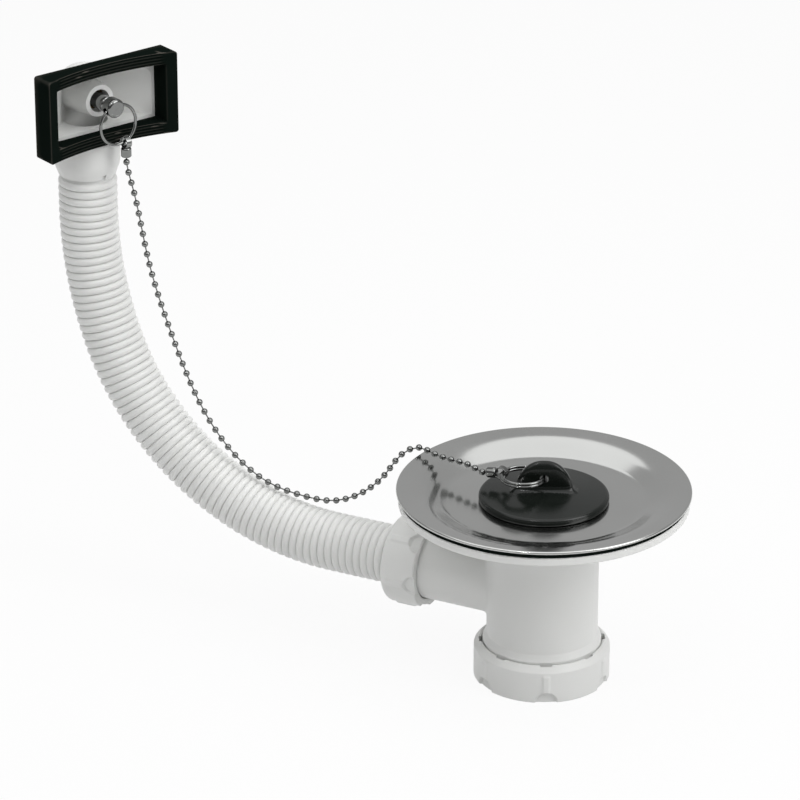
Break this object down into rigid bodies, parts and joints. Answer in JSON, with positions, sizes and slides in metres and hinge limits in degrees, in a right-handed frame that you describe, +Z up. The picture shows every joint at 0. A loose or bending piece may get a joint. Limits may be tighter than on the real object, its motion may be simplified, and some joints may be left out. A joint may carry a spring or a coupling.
{
  "type": "waste and overflow",
  "caption": "Kitchen sink waste with a pressed steel dish, rubber plug on a bead chain, captive outlet nut, and a corrugated hose up to a rectangular overflow head.",
  "frame": {"origin": "on the axis of the waste, in the plane where the edge of the dish rim seats on the sink", "axes": "+Z up along the axis of the waste, out of the sink hole; the overflow branch leaves along -X"},
  "size_m": [0.2702, 0.114, 0.2242],
  "materials": {
    "white_plastic": "satin moulded white polypropylene",
    "hose_plastic": "satin white polypropylene, thin corrugated wall",
    "black_rubber": "moulded black rubber, satin",
    "plug_rubber": "glossy black moulded rubber",
    "stainless": "polished stainless steel",
    "chrome": "bright chrome plate",
    "brass": "turned brass"
  },
  "bodies": {
    "waste": {"strainer_dish": "stainless", "fixing_screw": "stainless", "body_insert": "brass", "dish_gasket": "black_rubber", "waste_body": "white_plastic", "tail_washer": "black_rubber", "overflow_nut": "white_plastic", "overflow_seal": "black_rubber", "overflow_hose": "hose_plastic", "overflow_housing": "white_plastic", "overflow_gasket": "black_rubber", "stud_insert": "brass", "chain_stud": "chrome", "stud_ring": "chrome", "stud_clip": "chrome", "chain_beads": "chrome", "chain_links": "chrome", "plug_clip": "chrome", "plug_ring": "chrome", "plug": "plug_rubber"},
    "outlet_nut": {"coupling_nut": "white_plastic"}
  },
  "joints": [
    {"name": "outlet_nut_spin", "type": "hinge", "parent": "waste", "child": "outlet_nut", "pos_m": [0, 0, -0.0707], "axis": [0, 0, 1], "continuous": true}
  ]
}
